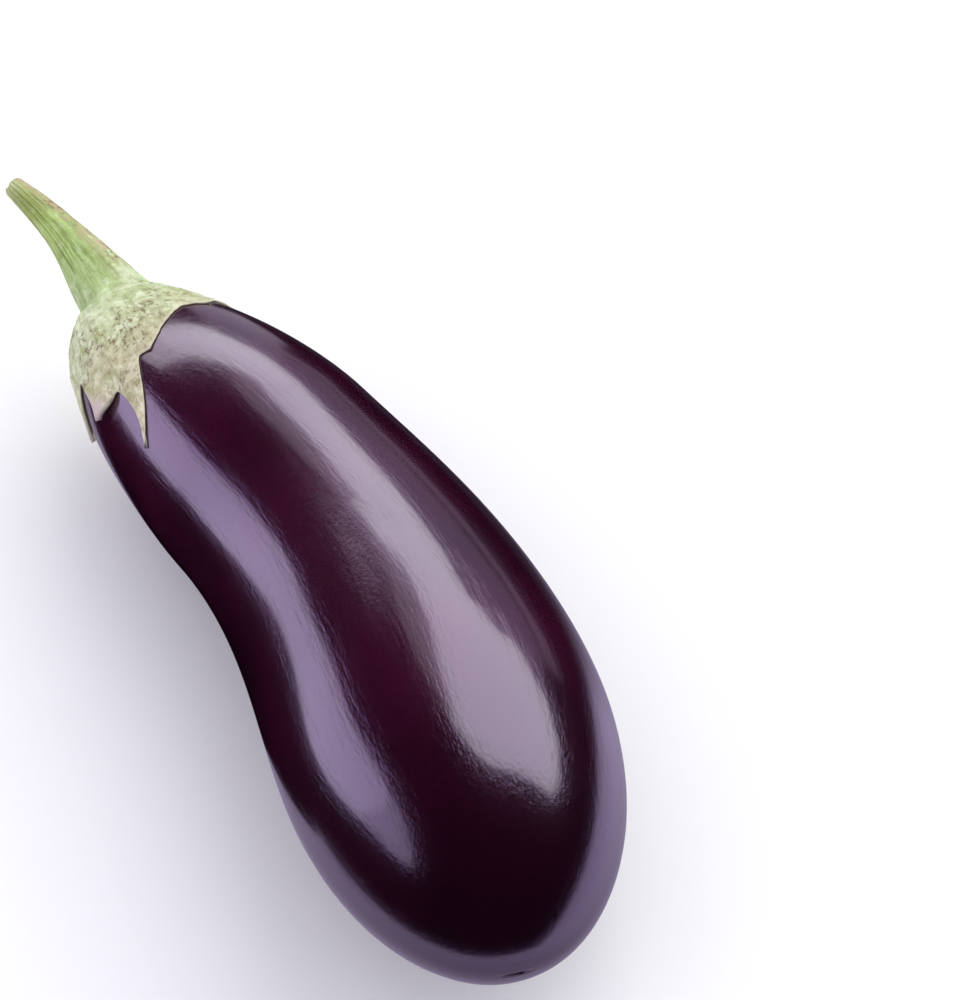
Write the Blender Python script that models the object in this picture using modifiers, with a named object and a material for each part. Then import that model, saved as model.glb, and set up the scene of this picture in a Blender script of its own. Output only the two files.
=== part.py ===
"""An eggplant lying on its side: the fruit, the leafy cap over its shoulder and the cut stem.

The fruit is turned from a smooth outline, then bent along a spine that curves sideways and sags
a little in the middle. The cap is a star of pointed lobes, drawn flat and wrapped over the
shoulder. The stem grows from the shoulder, a little to one side of its middle.

Metres, +Z up. The long way lies along X, with the stem end at -X. The fruit rests on a small
flat spot in the plane Z = 0, around the origin.
"""

from math import atan2, cos, hypot, pi, radians, sin, sqrt, tan

import bmesh
import bpy
import numpy as np
from mathutils import Vector
from mathutils.geometry import interpolate_bezier

# Fruit: its outline, as distances along the spine from the shoulder and radii there
FRUIT_LENGTH = 0.2154
NECK_AT = 0.0666
NECK_RADIUS = 0.0305
NECK_FLARE = 0.025
BELLY_AT = 0.1518
BELLY_RADIUS = 0.038

# Fruit: how far each end of the outline's three curves pulls along its own direction
SHOULDER_PULL = 0.0205
NECK_PULL_BACK = 0.020
NECK_PULL_ON = 0.0284
BELLY_PULL_BACK = 0.0257
BELLY_PULL_ON = 0.038
BLOSSOM_PULL = 0.0194

# Fruit: the bend of its spine, and the flat spot that it rests on
HEADING_SWING = radians(12.8)
BEND_FROM = 0.0342
BEND_TO = 0.1689
REST_AT = 0.1205
REST_RISE = 0.105
SAG = 1.1
REST_CUT = 0.0011

# Stem: where it leaves the shoulder, measured over the skin, and how it runs
STEM_FOOT = (0.0055, 0.001)
STEM_LENGTH = 0.0405
STEM_SUNK = 0.006
STEM_HEADING = pi + radians(12.5)
STEM_RISE_FOOT = radians(25)
STEM_RISE_TIP = radians(5)
STEM_FOOT_RADIUS = 0.0092
STEM_MIDDLE_RADIUS = 0.0043
STEM_MIDDLE_AT = 0.0245
STEM_TIP_RADIUS = 0.0026
STEM_END_ROUND = 0.0008

# Cap: each lobe as the angle of its root, the angle and reach of its tip, and the angle and
# reach of the notch after it, in degrees and metres over the skin from the foot of the stem
LOBES = (
    (48, 45, 0.0455, 80, 0.0346),
    (113, 113, 0.0435, 120, 0.043),
    (135, 145, 0.0649, 139, 0.0475),
    (150, 156, 0.0495, 162, 0.0332),
    (186, 190, 0.0427, 215, 0.029),
    (247, 243, 0.050, 283, 0.030),
    (320, 316, 0.0455, 375, 0.030),
)
CAP_THICKNESS_MIDDLE = 0.0017
CAP_THICKNESS_RIM = 0.001
CAP_START = 0.0068
CAP_ROWS = 13
CAP_EDGE_COLUMNS = 3
CAP_COLUMN_ANGLE = 5.5
LOBE_EDGE_POWER = 1.4
LOBE_SWAY_POWER = 6

# Room left between neighbours, and how finely the shapes are divided and joined
GAP = 0.0003
CAP_GAP = 0.0004
SPINE_STEP = 0.0005
MERGE_WITHIN = 0.00001
SHARP_FROM = radians(40)
FRUIT_AROUND = 48
FRUIT_CURVE_POINTS = 15
SHOULDER_POINTS = 200
STEM_AROUND = 24
STEM_CURVE_POINTS = 8


class Spine:
    """A bent centre line, walked from the heading and the rise at each distance along it."""

    def __init__(self, start, end, heading, rise):
        self.at = np.arange(start, end + SPINE_STEP, SPINE_STEP)
        ahead = np.array([(cos(heading(at)), sin(heading(at)), rise(at)) for at in self.at])
        self.ahead = ahead / np.linalg.norm(ahead, axis=1)[:, None]
        steps = (self.ahead[1:] + self.ahead[:-1]) / 2 * SPINE_STEP
        self.centre = np.vstack((np.zeros(3), np.cumsum(steps, axis=0)))

    def read(self, rows, at):
        return Vector([np.interp(at, self.at, rows[:, axis]) for axis in range(3)])

    def put(self, at, place):
        """Moves the whole line so that its point at this distance is at this place."""
        self.centre += np.array(place) - np.array(self.read(self.centre, at))

    def frame(self, at):
        """The centre there, and the directions to its side, up and ahead."""
        ahead = self.read(self.ahead, at).normalized()
        side = Vector((-ahead.y, ahead.x, 0)).normalized()
        return self.read(self.centre, at), side, ahead.cross(side), ahead


def smooth_step(share):
    share = min(max(share, 0), 1)
    return share * share * (3 - 2 * share)


def fruit_heading(at):
    turned_so_far = smooth_step((at - BEND_FROM) / (BEND_TO - BEND_FROM))
    return HEADING_SWING * (1 - 2 * turned_so_far)


def fruit_rise(at):
    return REST_RISE + SAG * (at - REST_AT)


def stem_rise(at):
    share = min(max(at / STEM_LENGTH, 0), 1)
    return tan(STEM_RISE_FOOT + (STEM_RISE_TIP - STEM_RISE_FOOT) * share)


def joined_curves(knots, points):
    """Points along Bezier curves joined end to end, each knot given as (before, knot, after)."""
    line = []
    for first, second in zip(knots, knots[1:]):
        curve = interpolate_bezier(first[1], first[2], second[0], second[1], points)
        line += curve if not line else curve[1:]
    return [Vector((point.x, point.y)) for point in line]


def fruit_outline(points=FRUIT_CURVE_POINTS):
    """(radius, distance along) from the shoulder to the blossom end."""
    shoulder, blossom = Vector((0, 0)), Vector((0, FRUIT_LENGTH))
    neck, belly = Vector((NECK_RADIUS, NECK_AT)), Vector((BELLY_RADIUS, BELLY_AT))
    along_neck, along_belly = Vector((NECK_FLARE, 1)), Vector((0, 1))
    outwards = Vector((1, 0))
    return joined_curves(
        (
            (None, shoulder, shoulder + outwards * SHOULDER_PULL),
            (neck - along_neck * NECK_PULL_BACK, neck, neck + along_neck * NECK_PULL_ON),
            (belly - along_belly * BELLY_PULL_BACK, belly, belly + along_belly * BELLY_PULL_ON),
            (blossom + outwards * BLOSSOM_PULL, blossom, None),
        ),
        points,
    )


def stem_outline():
    """(radius, distance along) from the middle of the sunk foot to the middle of the cut end."""
    foot = Vector((STEM_FOOT_RADIUS, -STEM_SUNK))
    middle = Vector((STEM_MIDDLE_RADIUS, STEM_MIDDLE_AT))
    tip = Vector((STEM_TIP_RADIUS, STEM_LENGTH - STEM_END_ROUND))
    taper = (tip - middle) / 3
    knots = (
        (None, foot, foot + Vector((0, STEM_MIDDLE_AT / 2))),
        (middle - taper * 2, middle, middle + taper),
        (tip - taper, tip, None),
    )
    end = [
        tip + STEM_END_ROUND * Vector((cos(angle) - 1, sin(angle)))
        for angle in (pi / 6, pi / 3, pi / 2)
    ]
    sides = joined_curves(knots, STEM_CURVE_POINTS)
    return [Vector((0, -STEM_SUNK)), *sides, *end, Vector((0, STEM_LENGTH))]


def grown(outline, by):
    """The outline moved outwards, square to itself, with its ends still on the axis."""
    line = []
    for index, point in enumerate(outline):
        run = outline[min(index + 1, len(outline) - 1)] - outline[max(index - 1, 0)]
        outwards = Vector((run.y, -run.x)).normalized()
        line.append(point + outwards * by)
    line[0] = Vector((0, outline[0].y - by))
    line[-1] = Vector((0, outline[-1].y + by))
    return line


def turned(name, outline, around, spine):
    """A solid turned from an outline and bent along a spine."""
    mesh = bpy.data.meshes.new(name)
    points = [(point.x, 0, point.y) for point in reversed(outline)]
    mesh.from_pydata(points, [(i, i + 1) for i in range(len(points) - 1)], [])
    profile = bpy.data.objects.new(name + "_profile", mesh)
    bpy.context.scene.collection.objects.link(profile)
    screw = profile.modifiers.new("turn", "SCREW")
    screw.steps = screw.render_steps = around
    screw.use_merge_vertices = True
    screw.merge_threshold = MERGE_WITHIN
    graph = bpy.context.evaluated_depsgraph_get()
    body = bpy.data.meshes.new_from_object(profile.evaluated_get(graph))
    bpy.data.objects.remove(profile)
    for vertex in body.vertices:
        centre, side, up, _ = spine.frame(vertex.co.z)
        vertex.co = centre + side * vertex.co.x + up * vertex.co.y
    body.shade_smooth()
    body.set_sharp_from_angle(angle=SHARP_FROM)
    return bpy.data.objects.new(name, body)


class Skin:
    """The fruit's skin laid flat round the middle of its shoulder, like a peeled map."""

    def __init__(self, spine):
        self.spine = spine
        line = np.array([tuple(point) for point in fruit_outline(SHOULDER_POINTS)])
        steps = np.hypot(*np.diff(line, axis=0).T)
        self.over = np.concatenate(([0], np.cumsum(steps)))
        self.radius, self.along = line.T
        self.radius_slope = np.gradient(self.radius, self.over)
        self.along_slope = np.gradient(self.along, self.over)

    def place(self, flat, lift):
        """The point of space for a place on the flat map, lifted off the skin."""
        over = hypot(*flat)
        angle = atan2(flat[1], flat[0])
        along = np.interp(over, self.over, self.along)
        centre, side, up, ahead = self.spine.frame(along)
        outwards = side * cos(angle) + up * sin(angle)
        radius = np.interp(over, self.over, self.radius)
        along_slope = np.interp(over, self.over, self.along_slope)
        radius_slope = np.interp(over, self.over, self.radius_slope)
        normal = (outwards * along_slope - ahead * radius_slope).normalized()
        return centre + outwards * radius + normal * lift


def cap_columns():
    """The root angle, sway and reach of each line that runs from the stem to the cap's rim."""
    columns = []
    last_notch, last_reach = LOBES[-1][3] - 360, LOBES[-1][4]
    for root, tip, reach, notch, notch_reach in LOBES:
        for start, end, start_reach, end_reach in (
            (last_notch, root, last_reach, reach),
            (root, notch, reach, notch_reach),
        ):
            count = max(CAP_EDGE_COLUMNS, round((end - start) / CAP_COLUMN_ANGLE))
            for share in (step / count for step in range(count)):
                height = share if end == root else 1 - share
                low_reach = min(start_reach, end_reach)
                sway = (tip - root) * height**2
                out = low_reach + abs(end_reach - start_reach) * height**LOBE_EDGE_POWER
                columns.append((radians(start + (end - start) * share), radians(sway), out))
        last_notch, last_reach = notch, notch_reach
    return columns


def make_fruit(spine):
    fruit = turned("fruit", fruit_outline(), FRUIT_AROUND, spine)
    bpy.ops.mesh.primitive_cube_add(size=1, location=(0, 0, -BELLY_RADIUS / 2))
    floor = bpy.context.object
    floor.name = "floor_cutter"
    floor.scale = (FRUIT_LENGTH, FRUIT_LENGTH, BELLY_RADIUS)
    cut(fruit, as_cutter(floor))
    return fruit


def make_stem(fruit_spine, stem_spine):
    stem = turned("stem", stem_outline(), STEM_AROUND, stem_spine)
    shoulder = turned("shoulder_cutter", grown(fruit_outline(), GAP), FRUIT_AROUND, fruit_spine)
    cut(stem, as_cutter(shoulder))
    return stem


def make_cap(skin, stem_spine):
    """The cap: a flat grid rolled round the foot of the stem, reaching out to the lobed rim."""
    columns = cap_columns()
    sheet = bmesh.new()
    bmesh.ops.create_grid(sheet, x_segments=len(columns), y_segments=CAP_ROWS, size=1)
    thick = sheet.verts.layers.deform.verify()
    for vertex in sheet.verts:
        share = (1 - vertex.co.y) / 2
        angle, sway, reach = columns[round((1 - vertex.co.x) / 2 * len(columns)) % len(columns)]
        bearing = angle + sway * share**LOBE_SWAY_POWER
        out = CAP_START + (reach - CAP_START) * share
        flat = Vector(STEM_FOOT) + out * Vector((cos(bearing), sin(bearing)))
        vertex.co = skin.place(flat, CAP_GAP)
        vertex[thick][0] = 1 - share
    bmesh.ops.remove_doubles(sheet, verts=sheet.verts, dist=MERGE_WITHIN)
    mesh = bpy.data.meshes.new("calyx")
    sheet.to_mesh(mesh)
    sheet.free()
    mesh.shade_smooth()
    cap = bpy.data.objects.new("calyx", mesh)
    wall = cap.modifiers.new("wall", "SOLIDIFY")
    wall.thickness = CAP_THICKNESS_MIDDLE
    wall.offset = 1
    wall.vertex_group = cap.vertex_groups.new(name="thick").name
    wall.thickness_vertex_group = CAP_THICKNESS_RIM / CAP_THICKNESS_MIDDLE
    hole = turned("stem_hole_cutter", grown(stem_outline(), GAP), STEM_AROUND, stem_spine)
    # The wall's outer side folds a little where its lines crowd round the stem's foot
    cut(cap, as_cutter(hole), crosses_itself=True)
    return cap


def as_cutter(obj):
    """Puts an object among the cutters, where it is drawn as wire and left out of a render."""
    for home in list(obj.users_collection):
        home.objects.unlink(obj)
    bpy.data.collections["cutters"].objects.link(obj)
    obj.hide_render = True
    obj.display_type = "WIRE"
    return obj


def cut(obj, cutter, crosses_itself=False):
    boolean = obj.modifiers.new(cutter.name, "BOOLEAN")
    boolean.operation = "DIFFERENCE"
    boolean.use_self = crosses_itself
    boolean.object = cutter


def paint(obj, colour, roughness):
    material = bpy.data.materials.new(obj.name)
    material.use_nodes = True
    shader = material.node_tree.nodes["Principled BSDF"]
    shader.inputs["Base Color"].default_value = (*colour, 1)
    shader.inputs["Roughness"].default_value = roughness
    shader.inputs["Metallic"].default_value = 0
    obj.data.materials.clear()
    obj.data.materials.append(material)


def new_collection(name):
    collection = bpy.data.collections.new(name)
    bpy.context.scene.collection.children.link(collection)
    return collection


def main():
    for obj in list(bpy.data.objects):
        bpy.data.objects.remove(obj)
    parts = new_collection("eggplant")
    new_collection("cutters")

    fruit_spine = Spine(-NECK_AT, FRUIT_LENGTH + NECK_AT, fruit_heading, fruit_rise)
    outline = fruit_outline(SHOULDER_POINTS)
    rest_radius = np.interp(REST_AT, [point.y for point in outline], [point.x for point in outline])
    rest_height = rest_radius * sqrt(1 + REST_RISE**2) - REST_CUT
    fruit_spine.put(REST_AT, (0, 0, rest_height))
    skin = Skin(fruit_spine)
    stem_spine = Spine(-STEM_LENGTH, 2 * STEM_LENGTH, lambda at: STEM_HEADING, stem_rise)
    stem_spine.put(0, skin.place(STEM_FOOT, 0))

    fruit = make_fruit(fruit_spine)
    stem = make_stem(fruit_spine, stem_spine)
    cap = make_cap(skin, stem_spine)
    for obj in (fruit, stem, cap):
        parts.objects.link(obj)
    paint(fruit, (0.021, 0.002, 0.011), 0.18)
    paint(cap, (0.56, 0.58, 0.33), 0.6)
    paint(stem, (0.38, 0.5, 0.18), 0.55)


main()
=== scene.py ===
# %% [markdown]
# # A glossy eggplant on a white table
# This lesson dresses a measured model of an eggplant as it looks in a studio photograph. The
# measured model gives the sizes, and stays behind for collisions. Every surface that is seen is
# modelled again here, finer, in the same place: the fruit, the leafy calyx and the cut stem.

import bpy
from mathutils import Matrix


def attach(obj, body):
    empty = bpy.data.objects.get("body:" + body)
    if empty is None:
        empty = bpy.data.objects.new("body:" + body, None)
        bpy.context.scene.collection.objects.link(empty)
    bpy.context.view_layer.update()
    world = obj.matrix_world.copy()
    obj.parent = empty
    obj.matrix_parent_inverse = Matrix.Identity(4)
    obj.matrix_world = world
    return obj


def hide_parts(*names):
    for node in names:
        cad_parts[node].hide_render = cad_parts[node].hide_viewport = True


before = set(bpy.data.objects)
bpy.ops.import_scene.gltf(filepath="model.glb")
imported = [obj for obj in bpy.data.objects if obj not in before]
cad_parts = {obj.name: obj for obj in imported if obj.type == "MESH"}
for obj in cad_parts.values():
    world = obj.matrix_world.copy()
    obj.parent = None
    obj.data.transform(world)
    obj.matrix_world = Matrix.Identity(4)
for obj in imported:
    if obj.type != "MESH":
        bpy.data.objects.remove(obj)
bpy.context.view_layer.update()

# %% Bring in the modelling tools
from collections import namedtuple
from math import atan2, cos, exp, hypot, pi, radians, sin, sqrt, tan

import bmesh
import bpy
import numpy as np
from mathutils import Matrix, Vector, noise
from mathutils.geometry import interpolate_bezier

# %% [markdown]
# ## The sizes that everything follows
# An eggplant is a turned shape that has been bent, so a handful of numbers holds all of it: how
# wide it is at the neck and the belly, where those lie, how far the ends pull the outline round,
# and how much the middle line turns. They are the measured model's own numbers, in metres.

# %% Sizes of the fruit and the stem
FRUIT_LENGTH = 0.2154
NECK_AT, NECK_RADIUS, NECK_FLARE = 0.0666, 0.0305, 0.025
BELLY_AT, BELLY_RADIUS = 0.1518, 0.038
SHOULDER_PULL, NECK_PULL_BACK, NECK_PULL_ON = 0.0205, 0.020, 0.0284
BELLY_PULL_BACK, BELLY_PULL_ON, BLOSSOM_PULL = 0.0257, 0.038, 0.0194
HEADING_SWING, BEND_FROM, BEND_TO = radians(12.8), 0.0342, 0.1689
REST_AT, REST_RISE, SAG, REST_CUT = 0.1205, 0.105, 1.1, 0.0011

STEM_FOOT = Vector((0.0055, 0.001))
STEM_LENGTH = 0.0405
STEM_HEADING, STEM_RISE_FOOT, STEM_RISE_TIP = pi + radians(12.5), radians(25), radians(5)
STEM_FOOT_RADIUS, STEM_MIDDLE_RADIUS, STEM_TIP_RADIUS = 0.0092, 0.0043, 0.0026
STEM_SUNK, STEM_MIDDLE_AT = 0.006, 0.0245

# %% [markdown]
# ## A bent middle line
# Blender can bend a mesh with a curve and a modifier, but a grown thing is easier to steer with
# its own middle line, walked in half millimetre steps from a heading and a slope. Any point of a
# straight model is then carried to the bent one: so far along the line, so far to the side, so
# far up.

# %% The middle line
STEP = 0.0005


class Spine:
    """A bent middle line that knows the directions to its side, up and ahead."""

    def __init__(self, start, end, heading, rise):
        self.at = np.arange(start, end + STEP, STEP)
        ahead = np.array([(cos(heading(at)), sin(heading(at)), rise(at)) for at in self.at])
        self.ahead = ahead / np.linalg.norm(ahead, axis=1)[:, None]
        steps = (self.ahead[1:] + self.ahead[:-1]) / 2 * STEP
        self.centre = np.vstack((np.zeros(3), np.cumsum(steps, axis=0)))

    def read(self, rows, at):
        return Vector([np.interp(at, self.at, rows[:, axis]) for axis in range(3)])

    def put(self, at, place):
        self.centre += np.array(place) - np.array(self.read(self.centre, at))

    def frame(self, at):
        ahead = self.read(self.ahead, at).normalized()
        side = Vector((-ahead.y, ahead.x, 0)).normalized()
        return self.read(self.centre, at), side, ahead.cross(side), ahead

    def carry(self, point):
        """Where a point of the straight model goes on the bent one."""
        centre, side, up, _ = self.frame(point.z)
        return centre + side * point.x + up * point.y


def smooth_step(share):
    share = min(max(share, 0), 1)
    return share * share * (3 - 2 * share)


def fruit_heading(at):
    return HEADING_SWING * (1 - 2 * smooth_step((at - BEND_FROM) / (BEND_TO - BEND_FROM)))


def stem_rise(at):
    share = min(max(at / STEM_LENGTH, 0), 1)
    return tan(STEM_RISE_FOOT + (STEM_RISE_TIP - STEM_RISE_FOOT) * share)


# %% [markdown]
# ## The outlines
# The fruit's outline is three Bezier curves joined at the neck and the belly, so that both are
# smooth. The stem's is two curves and a flat cut. Reading an outline by the distance walked over
# it, and not by the distance along the middle, spreads the rows of faces evenly over the round
# ends.

# %% Outlines, read by the distance walked over them
class Outline:
    """A line of (radius, distance along) that can be read by the distance walked over it."""

    def __init__(self, points):
        line = np.array([tuple(point) for point in points])
        self.radius, self.along = line.T
        self.over = np.concatenate(([0], np.cumsum(np.hypot(*np.diff(line, axis=0).T))))
        self.length = self.over[-1]
        self.radius_slope = np.gradient(self.radius, self.over)
        self.along_slope = np.gradient(self.along, self.over)

    def walked(self, over):
        return np.interp(over, self.over, self.radius), np.interp(over, self.over, self.along)

    def slopes(self, over):
        radius_slope = np.interp(over, self.over, self.radius_slope)
        return radius_slope, np.interp(over, self.over, self.along_slope)


def joined_curves(knots, points=120):
    line = []
    for first, second in zip(knots, knots[1:]):
        curve = interpolate_bezier(first[1], first[2], second[0], second[1], points)
        line += [point.xy for point in (curve[1:] if line else curve)]
    return line


shoulder, blossom = Vector((0, 0)), Vector((0, FRUIT_LENGTH))
neck, belly = Vector((NECK_RADIUS, NECK_AT)), Vector((BELLY_RADIUS, BELLY_AT))
along_neck, along_belly, outwards = Vector((NECK_FLARE, 1)), Vector((0, 1)), Vector((1, 0))
fruit_outline = Outline(joined_curves((
    (None, shoulder, shoulder + outwards * SHOULDER_PULL),
    (neck - along_neck * NECK_PULL_BACK, neck, neck + along_neck * NECK_PULL_ON),
    (belly - along_belly * BELLY_PULL_BACK, belly, belly + along_belly * BELLY_PULL_ON),
    (blossom + outwards * BLOSSOM_PULL, blossom, None),
)))

fruit_spine = Spine(-0.06, FRUIT_LENGTH + 0.06, fruit_heading,
                    lambda at: REST_RISE + SAG * (at - REST_AT))
rest_radius = np.interp(REST_AT, fruit_outline.along, fruit_outline.radius)
fruit_spine.put(REST_AT, (0, 0, rest_radius * sqrt(1 + REST_RISE**2) - REST_CUT))
print("walk over the fruit from shoulder to blossom end, mm:", round(1000 * fruit_outline.length))

# %% [markdown]
# ## The skin as a map
# The calyx lies on the fruit's shoulder, so it is easiest to draw on a flat map of that skin, as
# if the fruit had been peeled from the middle of its shoulder. This cell turns a place on the map
# into a point of space, lifted off the skin as far as asked.

# %% From the flat map to the skin
def over_skin(flat, lift):
    over, angle = hypot(*flat), atan2(flat[1], flat[0])
    radius, along = fruit_outline.walked(over)
    radius_slope, along_slope = fruit_outline.slopes(over)
    centre, side, up, ahead = fruit_spine.frame(along)
    away = side * cos(angle) + up * sin(angle)
    normal = (away * along_slope - ahead * radius_slope).normalized()
    return centre + away * radius + normal * lift


stem_spine = Spine(-STEM_LENGTH, 2 * STEM_LENGTH, lambda at: STEM_HEADING, stem_rise)
stem_spine.put(0, over_skin(STEM_FOOT, 0))

# %% [markdown]
# ## The fruit
# The real fruit swelled inside a tough skin, so it is round but never turned on a lathe: it has
# faint flats along its length, shallow hollows, a patch of small dents on its top, and a healed
# crease where the flower fell off. It could be sculpted by hand. Here a ball is drawn out to the
# outline, moved in and out by slow noise, and then bent, which gives even faces and the same
# fruit at every run.

# %% Hollows and dents, in metres
SLOW_DEPTH, FLATS_DEPTH, FINE_DEPTH = 0.00015, 0.00012, 0.00003
SHELTERED_TO, SHELTER_FADE, BLOSSOM_FADE = 0.055, 0.03, 0.02
DENTS = (
    # angle round the fruit, distance along it, half width, half length, depth
    (radians(68.5), 0.1405, 0.0022, 0.0075, 0.00016),
    (radians(66.5), 0.1525, 0.0016, 0.0045, 0.00007),
    (radians(84.5), 0.1160, 0.0020, 0.0060, 0.00013),
    (radians(90.0), 0.1050, 0.0016, 0.0050, 0.00005),
)


def hollows(angle, along):
    """How far the skin stands off the turned shape, before the bend."""
    around = Vector((cos(angle), sin(angle), 0))
    bare = smooth_step((along - SHELTERED_TO) / SHELTER_FADE)
    bare *= smooth_step((FRUIT_LENGTH - along) / BLOSSOM_FADE)
    slow = noise.noise(around * 1.3 + Vector((3, 7, along / 0.045)))
    flats = noise.noise(around * 2.6 + Vector((11, 2, along / 0.16)))
    fine = noise.noise(around * 5 + Vector((5, 1, along / 0.02)))
    body = bare * (SLOW_DEPTH * slow + FLATS_DEPTH * flats + FINE_DEPTH * fine)
    for dent_angle, dent_along, wide, long, depth in DENTS:
        sideways, lengthwise = (angle - dent_angle) * NECK_RADIUS, along - dent_along
        crumple = 1 + 0.5 * noise.noise(around * 20 + Vector((0, 0, along / 0.003)))
        body -= depth * crumple * exp(-((sideways / wide) ** 2) - (lengthwise / long) ** 2)
    return body


# %% The fruit's mesh
FRUIT_AROUND, FRUIT_ROWS, ROWS_CROWD = 216, 300, 1.25


def drawn_ball(around, rows):
    """A ball of faces that the outlines then draw out."""
    ball = bmesh.new()
    bmesh.ops.create_uvsphere(ball, u_segments=around, v_segments=rows, radius=1)
    return ball


def share_down(point):
    """How far down the ball a point lies: 0 at its top, 1 at its bottom."""
    return np.arccos(min(max(point.z, -1), 1)) / pi


def finished(name, form, finish=None):
    """Makes a mesh object of the form, smooth, with its place in its mesh."""
    mesh = bpy.data.meshes.new(name)
    form.to_mesh(mesh)
    form.free()
    mesh.shade_smooth()
    piece = bpy.data.objects.new(name, mesh)
    bpy.context.scene.collection.objects.link(piece)
    if finish:
        mesh.materials.append(finish)
    return piece


SCAR = Vector((0.0917, -0.0203, 0.0428))
SCAR_ALONG = Vector((0.507, 0.862, 0.05)).normalized()
SCAR_SIZE, DIMPLE_DEPTH, DIMPLE_SIZE = 0.02, 0.0003, 0.006
CREASE_DEPTH, CREASE_HALF_LENGTH, CREASE_HALF_WIDTH = 0.0006, 0.0039, 0.0006
LIP_HEIGHT, LIP_HALF_LENGTH, LIP_AWAY, LIP_HALF_WIDTH = 0.0001, 0.0036, 0.0014, 0.0007
fruit_form = drawn_ball(FRUIT_AROUND, FRUIT_ROWS)
straight = fruit_form.verts.layers.float_vector.new("straight")
for vertex in fruit_form.verts:
    turn = atan2(vertex.co.y, vertex.co.x)
    over = fruit_outline.length * (1 - (1 - share_down(vertex.co)) ** ROWS_CROWD)
    radius, along = fruit_outline.walked(over)
    radius = max(radius + hollows(turn % (2 * pi), along) * min(radius / 0.01, 1), 0)
    vertex[straight] = Vector((radius * cos(turn), radius * sin(turn), along))
    vertex.co = fruit_spine.carry(vertex[straight])
fruit_form.normal_update()
bmesh.ops.recalc_face_normals(fruit_form, faces=fruit_form.faces)
fruit_form.normal_update()
for vertex in fruit_form.verts:
    away = vertex.co - SCAR
    if away.length < SCAR_SIZE:
        sideways = away.dot(SCAR_ALONG)
        across = (away - SCAR_ALONG * sideways).length
        dimple = DIMPLE_DEPTH * exp(-((away.length / DIMPLE_SIZE) ** 2))
        crease = exp(-((sideways / CREASE_HALF_LENGTH) ** 4) - (across / CREASE_HALF_WIDTH) ** 2)
        lip = exp(-((sideways / LIP_HALF_LENGTH) ** 4) - ((across - LIP_AWAY) / LIP_HALF_WIDTH) ** 2)
        vertex.co -= vertex.normal * (dimple + CREASE_DEPTH * crease - LIP_HEIGHT * lip)
    vertex.co.z = max(vertex.co.z, 0)
fruit = finished("fruit_skin", fruit_form)
print("fruit faces:", len(fruit.data.polygons))

# %% [markdown]
# ## The green parts share one surface
# On the real thing there is no line between the stem and the calyx: the stalk flares out and its
# ridges run on as the ribs of the lobes. So both pieces read the same function for the stem's
# ridged side, and the calyx starts a little way up the stem, leaves it in a smooth curve and
# lands on the shoulder.

# %% The ridged side of the stem
SEAM_AT = 0.0045
RIDGES, RIDGE_HEIGHT, GRAIN_HEIGHT, STEM_TWIST = 5, 0.035, 0.018, 1.5
STEM_SAG = Vector((-0.0007, 0.0003))
FLOW_LENGTH = 0.03


def joined_stem():
    foot, middle = Vector((STEM_FOOT_RADIUS, -STEM_SUNK)), Vector((STEM_MIDDLE_RADIUS, STEM_MIDDLE_AT))
    tip = Vector((STEM_TIP_RADIUS, STEM_LENGTH))
    taper = (tip - middle) / 3
    return Outline(joined_curves((
        (None, foot, foot + Vector((0, STEM_MIDDLE_AT / 2))),
        (middle - taper * 2, middle, middle + taper),
        (tip - taper, tip, None),
    )))


stem_outline = joined_stem()


def stem_radius(turn, at):
    """The stem's radius on this side of it, ridges and all."""
    radius = np.interp(at, stem_outline.along, stem_outline.radius)
    around = Vector((cos(turn), sin(turn), 0))
    twist = turn + STEM_TWIST * at / STEM_LENGTH
    ridge = cos(RIDGES * twist) + 0.6 * noise.noise(around * 2.2 + Vector((0, 4, at / FLOW_LENGTH)))
    grain = noise.noise(around * 7 + Vector((9, 0, at / 0.006)))
    return radius * (1 + RIDGE_HEIGHT * ridge + GRAIN_HEIGHT * grain)


def stem_point(turn, radius, at):
    """A point of the stem, whose middle sags a little away from its straight line."""
    sag = STEM_SAG * sin(pi * min(max(at / STEM_LENGTH, 0), 1))
    return stem_spine.carry(Vector((radius * cos(turn) + sag.x, radius * sin(turn) + sag.y, at)))


def stem_side(turn, at):
    return stem_point(turn, stem_radius(turn, at), at)


# %% [markdown]
# ## The stem
# A stalk cut with shears: fibrous, a little ridged, with a dry rounded edge round the cut. The
# same drawn ball makes it, because a ball closes both its ends. Below the seam it is necked in
# like a tenon, and it ends just inside the calyx.

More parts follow.
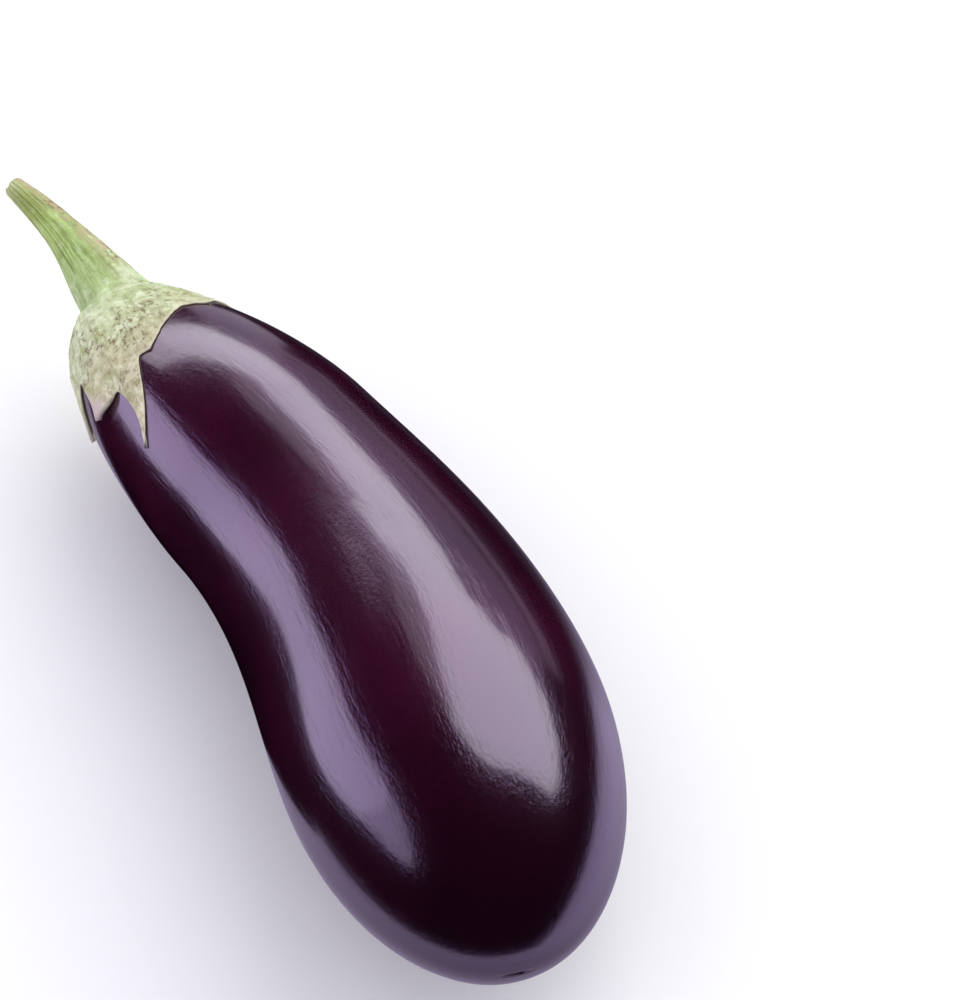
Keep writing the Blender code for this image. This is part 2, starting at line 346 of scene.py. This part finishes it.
# %% The stem's mesh
STEM_AROUND, STEM_ROWS = 96, 150
CUT_ROUND, CUT_PULLED_IN, CUT_ROUGH, CUT_ROUGH_LENGTH = 0.0009, 0.24, 0.00045, 0.0015
TENON_END, TENON_IN, TENON_SHOULDER, SEAM_GAP = 0.0028, 0.0024, 0.0015, 0.00004
side_over = STEM_LENGTH - TENON_END
stem_form = drawn_ball(STEM_AROUND, STEM_ROWS)
flow = stem_form.verts.layers.float_vector.new("flow")
reach_layer = stem_form.verts.layers.float.new("reach")
walk = side_over + STEM_FOOT_RADIUS + STEM_TIP_RADIUS
for vertex in stem_form.verts:
    turn = atan2(vertex.co.y, vertex.co.x)
    over = share_down(vertex.co) * walk
    if over < STEM_TIP_RADIUS:
        inward, at = over / STEM_TIP_RADIUS, STEM_LENGTH
    elif over < STEM_TIP_RADIUS + side_over:
        inward, at = 1, STEM_LENGTH - (over - STEM_TIP_RADIUS)
    else:
        inward, at = (walk - over) / STEM_FOOT_RADIUS, TENON_END
    radius = stem_radius(turn, at)
    below = smooth_step((SEAM_AT - 0.0006 - at) / TENON_SHOULDER)
    radius -= SEAM_GAP * smooth_step((SEAM_AT + 0.0004 - at) / 0.0008) + TENON_IN * below
    edge = max(CUT_ROUND - (STEM_LENGTH - at), 0) / CUT_ROUND
    radius *= inward * (1 - CUT_PULLED_IN * (1 - sqrt(max(1 - edge**2, 0))))
    rough = noise.noise(Vector((cos(turn), sin(turn), 0)) * 900 * radius + Vector((0, 5, 2)))
    at += CUT_ROUGH * rough * smooth_step((at - STEM_LENGTH + CUT_ROUGH_LENGTH) / CUT_ROUGH_LENGTH)
    vertex.co = stem_point(turn, radius, at)
    vertex[flow] = Vector((cos(turn), sin(turn), (SEAM_AT - at) / FLOW_LENGTH))
    vertex[reach_layer] = SEAM_AT - at
stem_form.normal_update()
bmesh.ops.recalc_face_normals(stem_form, faces=stem_form.faces)
stem = finished("stem_stalk", stem_form)
print("stem faces:", len(stem.data.polygons))

# %% [markdown]
# ## The calyx
# The calyx is a leathery star that once held the flower. Its lobes hug the shoulder, thin out to
# pale ragged edges that lift a little, and one claw reaches far down the fruit. It is drawn as
# columns that run from the stem out to the rim, each with its own bearing and reach, so a row of
# lobes is a short table of angles. The sheet is modelled once, and Solidify gives it its wall.

# %% The lobes, as angles in degrees and reaches over the skin in metres
LOBES = (
    # root, tip, tip's reach, notch after it, notch's reach, how far the tip curls up
    (8, 6, 0.0330, 43, 0.0312, 0.0002),
    (58, 58, 0.0345, 76, 0.0333, 0.0),
    (113, 113, 0.0434, 120, 0.0430, 0.0),
    (133.5, 147, 0.0650, 141, 0.0462, 0.0),
    (150, 158, 0.0480, 166, 0.0318, 0.0024),
    (186, 190, 0.0427, 215, 0.029, 0.0005),
    (247, 243, 0.050, 283, 0.030, 0.0006),
    (320, 316, 0.0455, 350, 0.031, 0.0008),
)
CAP_START, FLARE_END = 0.0068, 0.0145
CAP_WALL, CAP_RIM, CAP_GAP = 0.0016, 0.0005, 0.0001
FLARE_ROWS, CAP_ROWS, COLUMN_ANGLE = 14, 50, 1.0
LOBE_EDGE_POWER, SWAY_POWER, EDGE_TEAR = 1.4, 6, 0.0004
Column = namedtuple("Column", "bearing sway reach curl height root")


def cap_columns():
    """One column for about each degree, with its height on its lobe: 0 at a notch, 1 at the tip."""
    columns = []
    last_notch, last_reach = LOBES[-1][3] - 360, LOBES[-1][4]
    for root, tip, reach, notch, notch_reach, curl in LOBES:
        for start, end in ((last_notch, root), (root, notch)):
            count = max(10, round((end - start) / COLUMN_ANGLE))
            low = last_reach if end == root else notch_reach
            for share in (step / count for step in range(count)):
                height = share if end == root else 1 - share
                out = low + (reach - low) * height**LOBE_EDGE_POWER
                bearing = radians(start + (end - start) * share)
                tear = noise.noise(Vector((bearing * 9, 0, 0)))
                tear += 0.6 * noise.noise(Vector((bearing * 26, 3, 0)))
                out += EDGE_TEAR * tear * (1 - 0.5 * height)
                sway = radians(tip - root) * height**3
                columns.append(Column(bearing, sway, out, curl * height, height, radians(root)))
        last_notch, last_reach = notch, notch_reach
    return columns


columns = cap_columns()
print("calyx columns:", len(columns))


# %% How the calyx stands off the skin
RIB_HEIGHT, RIB_HALF_WIDTH = 0.0005, 0.0013
FOLD_HEIGHT, VEIN_HEIGHT, CRUMPLE_HEIGHT, RIM_PRESSED = 0.0004, 0.0002, 0.0002, 0.00015


def cap_share(column, out):
    """How far out on its column a place lies: 0 where the cap starts, 1 at the rim."""
    return min(max((out - CAP_START) / (column.reach - CAP_START), 0), 1)


def cap_lift(column, out):
    """The height of the calyx's outer side over the skin."""
    share = cap_share(column, out)
    wall = CAP_WALL + (CAP_RIM - CAP_WALL) * smooth_step(share * 1.05)
    off_rib = (column.bearing - column.root) * out
    rib = exp(-((off_rib / RIB_HALF_WIDTH) ** 2)) * smooth_step(share * 4) * (1 - 0.5 * share)
    around = Vector((cos(column.bearing), sin(column.bearing), 0))
    folds = noise.noise(around * 5.5 + Vector((0, 0, out / 0.05)))
    veins = noise.noise(around * 16 + Vector((4, 8, out / 0.02)))
    place = over_skin(STEM_FOOT + around.xy * out, 0)
    crumple = noise.noise(place * 260) + 0.5 * noise.noise(place * 600)
    soft = smooth_step((share - 0.1) * 3) * (1 - 0.75 * smooth_step((share - 0.6) / 0.4))
    uneven = FOLD_HEIGHT * folds + VEIN_HEIGHT * veins + CRUMPLE_HEIGHT * crumple
    lift = CAP_GAP + wall + RIB_HEIGHT * rib + soft * uneven
    lift += column.curl * smooth_step((share - 0.72) / 0.28) ** 2
    return lift - RIM_PRESSED * smooth_step((share - 0.975) / 0.025)


def cap_point(column, out):
    swung = column.bearing + column.sway * cap_share(column, out)**SWAY_POWER
    flat = STEM_FOOT + Vector((cos(swung), sin(swung))) * out
    return over_skin(flat, cap_lift(column, out))


# %% The calyx's mesh
LANDING_ROWS, LANDING_HANDLE, PALE_RIM, DRY_CURL = 12, 0.42, 0.004, 0.0012
sheet = bmesh.new()
rows = FLARE_ROWS + CAP_ROWS
bmesh.ops.create_grid(sheet, x_segments=len(columns), y_segments=rows, size=1)
flow = sheet.verts.layers.float_vector.new("flow")
reach_layer = sheet.verts.layers.float.new("reach")
rim_layer = sheet.verts.layers.float.new("rim")
dry_layer = sheet.verts.layers.float.new("dry")
thick = sheet.verts.layers.deform.verify()
lines = []
for column in columns:
    turn = pi - column.bearing
    top, under_top = stem_side(turn, SEAM_AT), stem_side(turn, SEAM_AT - 0.001)
    landing, beyond = cap_point(column, FLARE_END), cap_point(column, FLARE_END + 0.0005)
    handle = (landing - top).length * LANDING_HANDLE
    start = top + (under_top - top).normalized() * handle
    end = landing - (beyond - landing).normalized() * handle
    line = interpolate_bezier(top, start, end, landing, FLARE_ROWS + 1)
    for row in range(1, CAP_ROWS + 1):
        line.append(cap_point(column, FLARE_END + (column.reach - FLARE_END) * row / CAP_ROWS))
    lines.append(line)
for vertex in sheet.verts:
    row = round((1 - vertex.co.y) / 2 * rows)
    index = round((1 - vertex.co.x) / 2 * len(columns)) % len(columns)
    line, column = lines[index], columns[index]
    vertex.co = line[row]
    walked = sum((b - a).length for a, b in zip(line[:row], line[1:row + 1]))
    turn = pi - column.bearing
    vertex[flow] = Vector((cos(turn), sin(turn), walked / FLOW_LENGTH))
    vertex[reach_layer] = walked
    from_rim = (column.reach - FLARE_END) * (rows - row) / CAP_ROWS
    vertex[rim_layer] = max(1 - from_rim / PALE_RIM, 0)
    share = max((row - FLARE_ROWS) / CAP_ROWS, 0)
    tip = smooth_step((share - 0.84) / 0.1) * smooth_step((column.height - 0.5) / 0.4)
    vertex[dry_layer] = tip * min(column.curl / DRY_CURL, 1)
    flared, landed = smooth_step(row / FLARE_ROWS), smooth_step((row - FLARE_ROWS) / LANDING_ROWS)
    room = cap_lift(column, FLARE_END + (column.reach - FLARE_END) * share) - CAP_GAP
    # the wall starts thin where it leaves the stem, and never comes down to the skin
    vertex[thick][0] = (0.06 + 0.2 * flared + 0.74 * landed) * min(max(room / CAP_WALL, 0.15), 1)
bmesh.ops.remove_doubles(sheet, verts=sheet.verts, dist=0.00001)
sheet.normal_update()
calyx = finished("calyx_cap", sheet)
wall = calyx.modifiers.new("wall", "SOLIDIFY")
wall.thickness = CAP_WALL
wall.offset = -1
wall.vertex_group = calyx.vertex_groups.new(name="thick").name
print("calyx faces before its wall:", len(calyx.data.polygons))

# %% [markdown]
# ## Sums on shader sockets
# A finish is a sum of patterns, and a sum is easier to read as one line than as a web of nodes.
# This small class wraps a socket, so that adding or multiplying two of them adds the Math node.
# Every other node comes from one method that takes its type, its settings and its sockets.

# %% A wrapped socket and a finish
class Value:
    """One output of a node, which can be used in sums."""

    def __init__(self, finish, socket):
        self.finish = finish
        self.socket = socket

    def maths(self, operation, *numbers, clamp=False):
        settings = {"operation": operation, "use_clamp": clamp}
        return self.finish.node("ShaderNodeMath", settings, dict(enumerate(numbers)))

    def __add__(self, other):
        return self.maths("ADD", self, other)

    def __sub__(self, other):
        return self.maths("SUBTRACT", self, other)

    def __rsub__(self, other):
        return self.maths("SUBTRACT", other, self)

    def __mul__(self, other):
        return self.maths("MULTIPLY", self, other)

    def __truediv__(self, other):
        return self.maths("DIVIDE", self, other)

    def __pow__(self, other):
        return self.maths("POWER", self, other)

    __radd__ = __add__
    __rmul__ = __mul__

    def between(self, low, high):
        """0 below low, 1 above high, smooth between them."""
        settings = {"interpolation_type": "SMOOTHSTEP"}
        return self.finish.node("ShaderNodeMapRange", settings, {0: self, 1: low, 2: high})


class Finish:
    """A node tree that is filled by method calls."""

    def __init__(self, owner):
        owner.use_nodes = True
        self.tree = owner.node_tree
        self.tree.nodes.clear()

    def node(self, kind, settings=None, sockets=None, output=0):
        made = self.tree.nodes.new(kind)
        for name, value in (settings or {}).items():
            if name == "stops":
                self.set_stops(made.color_ramp, value)
            else:
                setattr(made, name, value)
        for name, value in (sockets or {}).items():
            if isinstance(value, Value):
                self.tree.links.new(value.socket, made.inputs[name])
            else:
                made.inputs[name].default_value = value
        return None if output is None else Value(self, made.outputs[output])

    def set_stops(self, ramp, stops):
        while len(ramp.elements) < len(stops):
            ramp.elements.new(1)
        for element, (place, colour) in zip(ramp.elements, stops):
            element.position = place
            element.color = (*colour, 1)

    def mix(self, factor, low, high):
        """A colour between two colours."""
        low, high = (c if isinstance(c, Value) else (*c, 1) for c in (low, high))
        sockets = {0: factor, 6: low, 7: high}
        return self.node("ShaderNodeMix", {"data_type": "RGBA"}, sockets, output=2)

    def noise(self, place, scale, detail=3, roughness=0.5, stretch=(1, 1, 1), turn=(0, 0, 0)):
        if stretch != (1, 1, 1) or turn != (0, 0, 0):
            sockets = {"Vector": place, "Scale": stretch, "Rotation": turn}
            place = self.node("ShaderNodeMapping", None, sockets)
        sockets = {"Vector": place, "Scale": scale, "Detail": detail, "Roughness": roughness}
        return self.node("ShaderNodeTexNoise", None, sockets)

    def attribute(self, name, output="Fac"):
        return self.node("ShaderNodeAttribute", {"attribute_name": name}, None, output)

    def show(self, shader, kind="ShaderNodeOutputMaterial"):
        self.node(kind, None, {"Surface": shader}, output=None)


def new_material(name):
    material = bpy.data.materials.new(name)
    return material, Finish(material)


# %% [markdown]
# ## The skin's finish
# The skin is almost black with a red-violet depth, under a thin wax that mirrors the softboxes.
# The wax isn't a perfect mirror: it is brushed with faint lengthwise streaks and freckled with
# tiny pores. The specular tint gives the wax its lavender cast. The streaks read the straight
# model's coordinates, kept on the mesh, so that they follow the bend.

# %% Skin
SKIN_GRAIN, DARK_FROM, DARK_TO = 0.00009, 0.150, 0.205
skin, f = new_material("aubergine_skin")
straight_place = f.attribute("straight", "Vector")
place = f.node("ShaderNodeTexCoord", None, None, "Object")
along = f.node("ShaderNodeSeparateXYZ", None, {0: straight_place}, 2)
cloud = f.noise(place, 28, 3)
fine_streak = f.noise(straight_place, 2000, 2, 0.6, stretch=(1, 1, 0.22))
streak = f.noise(straight_place, 800, 2, 0.6, stretch=(1, 1, 0.10))
fuzz = f.noise(place, 1300, 2, 0.6)
cells = f.node("ShaderNodeTexVoronoi", None, {"Vector": place, "Scale": 75})
speck = 1 - cells.between(0.014, 0.028)
colour = f.mix(cloud.between(0.3, 0.7), (0.015, 0.0004, 0.0062), (0.029, 0.0009, 0.0112))
colour = f.mix(along.between(DARK_FROM, DARK_TO) * 0.75, colour, (0.004, 0.0001, 0.0012))
colour = f.mix(speck * 0.5, colour, (0.16, 0.10, 0.13))
from_scar = f.node("ShaderNodeVectorMath", {"operation": "SUBTRACT"}, {0: place, 1: SCAR})
scar_away = f.node("ShaderNodeVectorMath", {"operation": "LENGTH"}, {0: from_scar}, 1)
sideways = f.node("ShaderNodeVectorMath", {"operation": "DOT_PRODUCT"}, {0: from_scar, 1: SCAR_ALONG}, 1)
off_crease = (scar_away**2 - sideways**2) ** 0.5
along_crease = (sideways**2) ** 0.5
scar_mask = (1 - off_crease.between(0.0004, 0.0009)) * (1 - along_crease.between(0.0024, 0.0044))
colour = f.mix(scar_mask * 0.8, colour, (0.03, 0.018, 0.014))
roughness = 0.14 + 0.06 * streak + 0.06 * fuzz + 0.5 * scar_mask
height = 0.9 * streak + 0.45 * fine_streak + 0.35 * fuzz
bump = f.node("ShaderNodeBump", None, {"Strength": 1.0, "Distance": SKIN_GRAIN, "Height": height})
shader = f.node("ShaderNodeBsdfPrincipled", None, {
    "Base Color": colour, "Roughness": roughness, "Normal": bump, "IOR": 1.5,
    "Specular IOR Level": 1.0, "Specular Tint": (0.78, 0.58, 1.0, 1),
    "Coat Weight": 1 - 0.95 * scar_mask, "Coat Roughness": 0.12, "Coat IOR": 1.5,
})
f.show(shader)
fruit.data.materials.append(skin)
print("skin nodes:", len(skin.node_tree.nodes))

# %% [markdown]
# ## The green parts' finish
# One finish covers the stem and the calyx, because they grew as one. Its colour goes by the
# distance from the seam: olive at the cut, fresh green along the stem, pale green where it
# flares, and tan towards the ragged rim. Streaks follow the ridges, and brown freckles gather in
# clusters where the calyx was bruised. A curled tip has dried to a pale pinkish grey.

# %% Green parts
REACH_FROM, REACH_SPAN, GREEN_GRAIN = -0.036, 0.090, 0.0008
green, f = new_material("stalk_and_calyx")
place = f.node("ShaderNodeTexCoord", None, None, "Object")
flow_place = f.attribute("flow", "Vector")
reach = f.attribute("reach")
rim = f.attribute("rim")
stops = [(-0.036, (0.52, 0.55, 0.26)), (-0.030, (0.33, 0.40, 0.10)), (-0.018, (0.40, 0.54, 0.15)),
         (-0.008, (0.40, 0.56, 0.20)), (-0.001, (0.43, 0.58, 0.25)), (0.008, (0.55, 0.67, 0.39)),
         (0.018, (0.53, 0.60, 0.35)), (0.034, (0.49, 0.46, 0.29)), (0.054, (0.62, 0.55, 0.40))]
wander = f.noise(place, 90, 3)
ramp_at = (reach - REACH_FROM + 0.016 * (wander - 0.5)) / REACH_SPAN
stops = [((at - REACH_FROM) / REACH_SPAN, colour) for at, colour in stops]
base = f.node("ShaderNodeValToRGB", {"stops": stops}, {0: ramp_at})
on_stem = 1 - reach.between(-0.010, 0.004)
pale = f.noise(place, 120, 3, 0.6, turn=(1.0, 0.4, 2.0))
base = f.mix(pale.between(0.50, 0.62) * (0.55 - 0.4 * on_stem), base, (0.70, 0.75, 0.54))
patch = f.noise(place, 150, 4, 0.65)
base = f.mix(patch.between(0.49, 0.62) * 0.5, base, (0.26, 0.31, 0.09))
fibre = f.noise(flow_place, 9, 4, 0.6, stretch=(1, 1, 0.22))
fine_fibre = f.noise(flow_place, 26, 3, 0.6, stretch=(1, 1, 0.25))
base = f.mix(fibre.between(0.50, 0.62) * (0.15 + 0.55 * on_stem), base, (0.115, 0.20, 0.025))
base = f.mix((1 - fibre.between(0.33, 0.45)) * (0.2 + 0.4 * on_stem), base, (0.58, 0.66, 0.42))
base = f.mix(fine_fibre.between(0.5, 0.7) * 0.3, base, (0.23, 0.21, 0.085))
mottle = f.noise(place, 380, 4, 0.7)
off_flare = reach.between(0.006, 0.017)
base = f.mix(mottle.between(0.50, 0.67) * (0.18 + 0.42 * off_flare), base, (0.23, 0.185, 0.08))
base = f.mix((1 - mottle.between(0.36, 0.48)) * (0.5 - 0.35 * on_stem), base, (0.74, 0.76, 0.58))
cluster = f.noise(place, 85, 2)
freckle = f.noise(place, 560, 4, 0.75)
# tan patches on the stem's upper side are painted light: they stand for the side that the light falls
# on. The brown freckles gathered there are the stem's own
lit_side_sockets = {0: flow_place, 1: (-0.93, 0.36, 0)}
facing_lit_side = f.node("ShaderNodeVectorMath", {"operation": "DOT_PRODUCT"}, lit_side_sockets, 1)
painted_light_and_freckle_side = facing_lit_side.between(0.35, 0.8) * on_stem
base = f.mix(painted_light_and_freckle_side * mottle.between(0.38, 0.52) * 0.8, base, (0.48, 0.38, 0.23))
freckles = freckle.between(0.50, 0.64) * cluster.between(0.44, 0.60) * (1 - on_stem + 1.3 * painted_light_and_freckle_side)
base = f.mix(freckles * 0.8, base, (0.15, 0.085, 0.035))
base = f.mix(rim.between(0.70, 1.0) * 0.6, base, (0.66, 0.62, 0.47))
base = f.mix(f.attribute("dry") * 0.9, base, (0.50, 0.41, 0.40))
cut = 1 - reach.between(-0.0365, -0.0352)
base = f.mix(cut * 0.7, base, (0.26, 0.22, 0.13))
height = 0.45 * fibre + 0.3 * fine_fibre + 0.5 * mottle - 0.2 * freckles
bump = f.node("ShaderNodeBump", None, {"Strength": 0.8, "Distance": GREEN_GRAIN, "Height": height})
shader = f.node("ShaderNodeBsdfPrincipled", None, {
    "Base Color": base, "Roughness": 0.5 + 0.2 * mottle, "Normal": bump, "IOR": 1.45,
    "Specular IOR Level": 0.3,
})
f.show(shader)
for piece in (stem, calyx):
    piece.data.materials.append(green)
print("green nodes:", len(green.node_tree.nodes))

# %% Hand the pieces to the body they ride on
for piece, node in ((fruit, "fruit"), (calyx, "calyx"), (stem, "stem")):
    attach(piece, "root")
    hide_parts(node)

# %% [markdown]
# ## The table and the softboxes
# The photograph's highlights tell where its lights stood: reflect the line of sight at the edge
# of a highlight and it points at the edge of the softbox. That gives a large softbox high behind
# the fruit, a long low one to the left, dimmer fringes along their edges, and a dark room between
# them. A panel of the big softbox's outline gives its soft light, and a sky panel fills the
# shadows. The white table is left out of the reflections, apart from a pale glow from below.

# %% Table and backdrop
TABLE_RADIUS = 1.5
RISING_EDGE = ((1.12, 0.03), (1.08, 0.09), (1.05, 0.16), (1.02, 0.24), (1.0, 0.9))
dish = bmesh.new()
bmesh.ops.create_circle(dish, cap_ends=True, segments=96, radius=TABLE_RADIUS)
outer = [edge for edge in dish.edges if edge.is_boundary]
for grow, rise in RISING_EDGE:
    made = bmesh.ops.extrude_edge_only(dish, edges=outer)["geom"]
    ring = [item for item in made if isinstance(item, bmesh.types.BMVert)]
    bmesh.ops.scale(dish, vec=(grow, grow, 1), verts=ring)
    bmesh.ops.translate(dish, vec=(0, 0, rise), verts=ring)
    outer = [item for item in made if isinstance(item, bmesh.types.BMEdge) and item.is_boundary]
bmesh.ops.recalc_face_normals(dish, faces=dish.faces)
white, f = new_material("white_table")
shader = f.node("ShaderNodeBsdfDiffuse", None, {"Color": (0.9, 0.9, 0.9, 1)})
f.show(shader)
table = finished("table", dish, white)
table.visible_glossy = False
table.visible_shadow = False


# %% Softboxes
def towards(azimuth, elevation):
    turn, tilt = radians(azimuth), radians(elevation)
    return Vector((sin(turn) * cos(tilt), -cos(turn) * cos(tilt), sin(tilt)))


def softbox(name, outline, away, glow, tint=(1.0, 1.0, 1.0), seen_from=Vector()):
    """A flat glowing card whose corners are seen in these directions from a point of the fruit."""
    card = bmesh.new()
    bmesh.ops.create_circle(card, cap_ends=True, segments=len(outline), radius=1)
    card.verts.ensure_lookup_table()
    middle = sum((towards(*corner) for corner in outline), Vector()).normalized()
    for vertex, corner in zip(card.verts, outline):
        vertex.co = seen_from + towards(*corner) * away / towards(*corner).dot(middle)
    bmesh.ops.triangulate(card, faces=card.faces)
    material, f = new_material(name)
    f.show(f.node("ShaderNodeEmission", None, {"Color": (*tint, 1), "Strength": glow}))
    box = finished(name, card, material)
    box.visible_camera = False
    box.visible_shadow = False
    return box


# each corner is an azimuth and an elevation in degrees, seen from the fruit
BACK_BOX = ((156, 33), (161, 26), (175, 22), (190, 20), (202, 22), (213, 25), (222, 23), (231, 19),
            (236, 13), (245, 13), (262, 20), (275, 21), (275, 33), (268, 34), (256, 34), (246, 36),
            (244, 45), (247, 60), (250, 74), (200, 80), (166, 74), (160, 55))
SIDE_BOX = ((301, 15), (300, 5), (305, -2), (313, -6), (322, -8), (330, -5), (337, 0), (343, 5),
            (346, 34), (336, 34), (326, 30), (318, 25), (313, 23), (308, 20), (303, 18))
SIDE_END = ((343, 5), (350, 9), (359, 13), (368, 18), (366, 26), (356, 34), (346, 35))
SHOULDER_BOX = ((272, 20), (286, 21), (296, 23), (294, 30), (284, 34), (272, 36))
BACK_FRINGE = ((243, 36), (256, 36), (263, 42), (265, 56), (260, 70), (248, 78), (244, 60))
LOW_FRINGE = ((188, 21), (196, 8), (210, 3), (226, 2), (235, 6), (237, 13), (231, 20), (213, 26))
EDGE_FRINGE = ((231, 16), (231, -14), (238, -25), (245, -12), (245, 14))
THIN_GLOW = ((190, 3), (200, -1), (210, -4), (222, -4), (232, -1), (233, 3), (221, 0), (212, 0),
             (204, 3), (194, 8))
SKY = [(azimuth, 30) for azimuth in range(0, 360, 30)]
LAVENDER, FAINT_VIOLET = (0.98, 0.88, 1.16), (0.96, 0.955, 1.06)
SHOULDER = Vector((-0.083, -0.016, 0.054))
back_box = softbox("back_softbox", BACK_BOX, 1.2, 3.1)
back_box.visible_diffuse = False
key = softbox("key_panel", BACK_BOX, 1.25, 2.5)
key.visible_glossy = False
shoulder_box = softbox("shoulder_card", SHOULDER_BOX, 0.15, 2.4, seen_from=SHOULDER)
shoulder_box.visible_diffuse = False
softbox("side_softbox", SIDE_BOX, 1.2, 2.05, LAVENDER)
softbox("side_end", SIDE_END, 1.2, 1.3, LAVENDER)
softbox("back_fringe", BACK_FRINGE, 1.3, 0.7)
softbox("low_fringe", LOW_FRINGE, 1.3, 0.35, (1.0, 0.82, 1.1))
softbox("edge_fringe", EDGE_FRINGE, 1.3, 0.5, (1.0, 0.85, 1.1))
softbox("thin_glow", THIN_GLOW, 1.2, 0.45, (1.0, 0.8, 1.1))
sky = softbox("sky_panel", SKY, 1.5, 0.84, FAINT_VIOLET)
sky.visible_glossy = False
print("corners of the back softbox:", len(BACK_BOX))

# %% [markdown]
# ## Black cloth and a dark room
# A glossy skin mirrors everything round it, so a studio lays black cloth where a bright reflection
# would spoil the outline. This flag lies low beside the neck and keeps the table's glow out of the
# skin there. The glow itself is painted on the world, because a real white table would light up
# the fruit's whole lower side.

# %% A dark flag beside the neck, seen in the reflections only
FLAG_SIZE, FLAG_PLACE = (0.14, 0.085, 1), (-0.067, -0.074, 0.003)
FLAG_TURN = Matrix.Rotation(radians(22), 3, "Z")
flag_form = bmesh.new()
bmesh.ops.create_grid(flag_form, x_segments=1, y_segments=1, size=0.5)
bmesh.ops.scale(flag_form, vec=FLAG_SIZE, verts=flag_form.verts)
bmesh.ops.rotate(flag_form, matrix=FLAG_TURN, verts=flag_form.verts)
bmesh.ops.translate(flag_form, vec=FLAG_PLACE, verts=flag_form.verts)
black, f = new_material("black_cloth")
f.show(f.node("ShaderNodeEmission", None, {"Color": (0, 0, 0, 1), "Strength": 0.0}))
flag = finished("neck_flag", flag_form, black)
flag.visible_camera = False
flag.visible_shadow = False
flag.visible_diffuse = False

# %% The dark room, with the table's glow from below
world = bpy.data.worlds.new("dark_room")
bpy.context.scene.world = world
f = Finish(world)
direction = f.node("ShaderNodeTexCoord", None, None, "Generated")


def along_direction(x, y, z):
    return f.node("ShaderNodeVectorMath", {"operation": "DOT_PRODUCT"}, {0: direction, 1: (x, y, z)}, 1)


# the glow ends where the rims of light on the fruit end, along two straight edges
height = along_direction(0, 0, 1)
near_edge = along_direction(-0.052, -0.079, 1)
right_edge = along_direction(-0.366, -0.608, 1)
to_right = along_direction(0.3, 0.95, 0)
front = along_direction(0.927, -0.375, 0)
on_near = 1 - near_edge.between(-0.60, -0.52)
on_right = (1 - right_edge.between(-0.94, -0.83)) * to_right.between(0, 0.25)
on_table = on_near.maths("MAXIMUM", on_near, on_right) * (0.04 + 0.96 * front.between(-0.66, -0.46))
table_glow = f.mix(height.between(-0.95, -0.45), (0.27, 0.225, 0.34), (0.78, 0.65, 0.98))
table_glow = f.mix(height.between(-0.45, -0.15), table_glow, (1.05, 0.88, 1.32))
glow = f.mix(on_table, (0.001, 0.0008, 0.0015), table_glow)
f.show(f.node("ShaderNodeBackground", None, {"Color": glow, "Strength": 1.0}), "ShaderNodeOutputWorld")

# %% [markdown]
# ## The camera
# The photograph looks down on the fruit from the front right, at 57 degrees above the table. The
# place and the lens come from fitting the outline to the photograph's edges.

# %% Camera
CAMERA_AZIMUTH, CAMERA_ELEVATION, CAMERA_AWAY = 59.55, 57, 0.8
SENSOR, FOCAL_PIXELS, PHOTO_PIXELS = 36, 3352.7, 1000
AIM = Vector((-0.0253, 0.0392, 0.0270))
camera_data = bpy.data.cameras.new("camera")
camera_data.sensor_width = SENSOR
camera_data.lens = FOCAL_PIXELS * SENSOR / PHOTO_PIXELS
camera = bpy.data.objects.new("camera", camera_data)
bpy.context.scene.collection.objects.link(camera)
back = towards(CAMERA_AZIMUTH, CAMERA_ELEVATION)
camera.location = AIM + back * CAMERA_AWAY
camera.rotation_euler = (-back).to_track_quat("-Z", "Y").to_euler()
bpy.context.scene.camera = camera
bpy.context.scene.view_settings.view_transform = "Standard"
print("lens, mm:", round(camera_data.lens, 1))
